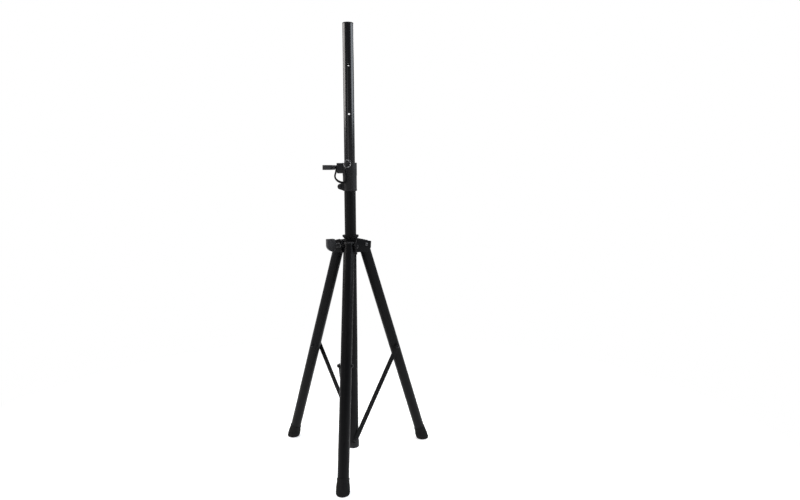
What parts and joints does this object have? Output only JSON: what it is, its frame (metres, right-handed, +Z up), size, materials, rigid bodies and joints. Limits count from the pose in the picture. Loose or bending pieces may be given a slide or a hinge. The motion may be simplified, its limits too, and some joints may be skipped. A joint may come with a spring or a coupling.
{
  "type": "speaker tripod stand",
  "caption": "Folding tripod stand with a telescoping pole, clamp handles, a locking pin, and hinged legs braced to the foot of its mast.",
  "frame": {"origin": "on the floor at the centre of the footprint's bounding box; the mast's axis is 69.25 mm behind it along +Y", "axes": "+Z up along the mast; -Y towards the front leg; +X to the right seen from the front"},
  "size_m": [0.5216, 0.4576, 1.4451],
  "materials": {
    "black_steel": "black satin powder coat, fine grain",
    "pole_steel": "black gloss enamel, slightly rubbed where it slides",
    "black_nylon": "moulded black nylon, matte",
    "grey_plastic": "moulded dark grey plastic, fine texture",
    "rubber": "matte black moulded rubber",
    "zinc": "zinc-plated steel",
    "black_bolt": "black oxide steel",
    "chrome": "bright chrome plate",
    "cord": "matte black rubber cord"
  },
  "bodies": {
    "mast": {"outer_mast": "black_steel", "height_collar": "black_nylon", "collar_bolt": "black_bolt", "collar_nut": "black_bolt", "collar_insert": "zinc", "mast_end_cap": "black_nylon", "lower_bolt_1": "black_bolt", "lower_bolt_2": "black_bolt", "lower_bolt_3": "black_bolt", "tether_cord": "cord", "tether_eye": "cord"},
    "upper_pole": {"inner_mast": "pole_steel", "mast_cap": "black_nylon", "mast_guide": "black_nylon"},
    "pin": {"locking_pin": "zinc"},
    "ring": {"pin_ring": "chrome", "tether_link": "zinc"},
    "height_clamp_pad": {"height_pad": "black_nylon"},
    "height_handle": {"height_knob": "grey_plastic", "height_screw": "zinc"},
    "hub": {"hub_sleeve": "black_steel", "hub_insert": "zinc", "leg_bracket_1": "black_steel", "leg_bracket_2": "black_steel", "leg_bracket_3": "black_steel", "bracket_screw_1": "zinc", "bracket_screw_2": "zinc", "bracket_screw_3": "zinc", "side_screw_2": "zinc", "side_screw_3": "zinc", "leg_bolt_1": "zinc", "leg_bolt_2": "zinc", "leg_bolt_3": "zinc", "leg_nut_1": "black_bolt", "leg_nut_2": "black_bolt", "leg_nut_3": "black_bolt"},
    "hub_clamp_pad": {"hub_pad": "black_nylon"},
    "hub_handle": {"hub_knob": "grey_plastic", "hub_screw": "zinc"},
    "leg_1": {"leg_tube_1": "black_steel", "leg_cap_1": "black_nylon", "foot_1": "rubber", "leg_bush_1": "black_nylon", "brace_nut_1": "black_bolt"},
    "brace_arm_1": {"brace_1": "black_steel", "brace_bolt_1": "black_bolt"},
    "leg_2": {"leg_tube_2": "black_steel", "leg_cap_2": "black_nylon", "foot_2": "rubber", "leg_bush_2": "black_nylon", "brace_nut_2": "black_bolt"},
    "brace_arm_2": {"brace_2": "black_steel", "brace_bolt_2": "black_bolt"},
    "leg_3": {"leg_tube_3": "black_steel", "leg_cap_3": "black_nylon", "foot_3": "rubber", "leg_bush_3": "black_nylon", "brace_nut_3": "black_bolt"},
    "brace_arm_3": {"brace_3": "black_steel", "brace_bolt_3": "black_bolt"}
  },
  "joints": [
    {"name": "mast_slide", "type": "slide", "parent": "mast", "child": "upper_pole", "axis": [0, 0, 1], "range_m": [0, 0.305]},
    {"name": "pin_pull", "type": "slide", "parent": "upper_pole", "child": "pin", "axis": [0.1219, -0.9925, 0], "range_m": [0, 0.042]},
    {"name": "ring_swing", "type": "hinge", "parent": "pin", "child": "ring", "pos_m": [0.00335, 0.04195, 1.0073], "axis": [-0.638, -0.0783, 0.766], "range_deg": [0, 40]},
    {"name": "height_pad_slide", "type": "slide", "parent": "mast", "child": "height_clamp_pad", "axis": [-1, 0, 0], "range_m": [0, 0.0025]},
    {"name": "height_knob_turn", "type": "hinge", "parent": "height_clamp_pad", "child": "height_handle", "pos_m": [-0.05, 0.06925, 0.988], "axis": [-1, 0, 0], "range_deg": [0, 727]},
    {"name": "hub_slide", "type": "slide", "parent": "mast", "child": "hub", "axis": [0, 0, 1], "range_m": [0, 0.0543]},
    {"name": "hub_pad_slide", "type": "slide", "parent": "hub", "child": "hub_clamp_pad", "axis": [-0.866, -0.5, 0], "range_m": [0, 0.0025]},
    {"name": "hub_knob_turn", "type": "hinge", "parent": "hub_clamp_pad", "child": "hub_handle", "pos_m": [-0.05196, 0.03925, 0.734], "axis": [-0.866, -0.5, 0], "range_deg": [0, 727]},
    {"name": "leg_1_fold", "type": "hinge", "parent": "hub", "child": "leg_1", "pos_m": [0, 0.02325, 0.7345], "axis": [1, 0, 0], "range_deg": [0, 17.6]},
    {"name": "brace_1_fold", "type": "hinge", "parent": "mast", "child": "brace_arm_1", "pos_m": [0, 0.06925, 0.058], "axis": [-1, 0, 0], "range_deg": [0, 20.2]},
    {"name": "leg_2_fold", "type": "hinge", "parent": "hub", "child": "leg_2", "pos_m": [0.03984, 0.09225, 0.7345], "axis": [-0.5, 0.866, 0], "range_deg": [0, 17.6]},
    {"name": "brace_2_fold", "type": "hinge", "parent": "mast", "child": "brace_arm_2", "pos_m": [0, 0.06925, 0.058], "axis": [0.5, -0.866, 0], "range_deg": [0, 20.2]},
    {"name": "leg_3_fold", "type": "hinge", "parent": "hub", "child": "leg_3", "pos_m": [-0.03984, 0.09225, 0.7345], "axis": [-0.5, -0.866, 0], "range_deg": [0, 17.6]},
    {"name": "brace_3_fold", "type": "hinge", "parent": "mast", "child": "brace_arm_3", "pos_m": [0, 0.06925, 0.058], "axis": [0.5, 0.866, 0], "range_deg": [0, 20.2]}
  ],
  "couplings": [
    {"joint": "height_knob_turn", "follows": "height_pad_slide", "rad_per_m": 5026.5},
    {"joint": "hub_knob_turn", "follows": "hub_pad_slide", "rad_per_m": 5026.5},
    {"joint": "leg_1_fold", "follows": "hub_slide", "rad_per_m": 5.6115},
    {"joint": "brace_1_fold", "follows": "hub_slide", "rad_per_m": 6.4285},
    {"joint": "leg_2_fold", "follows": "hub_slide", "rad_per_m": 5.6115},
    {"joint": "brace_2_fold", "follows": "hub_slide", "rad_per_m": 6.4285},
    {"joint": "leg_3_fold", "follows": "hub_slide", "rad_per_m": 5.6115},
    {"joint": "brace_3_fold", "follows": "hub_slide", "rad_per_m": 6.4285}
  ]
}
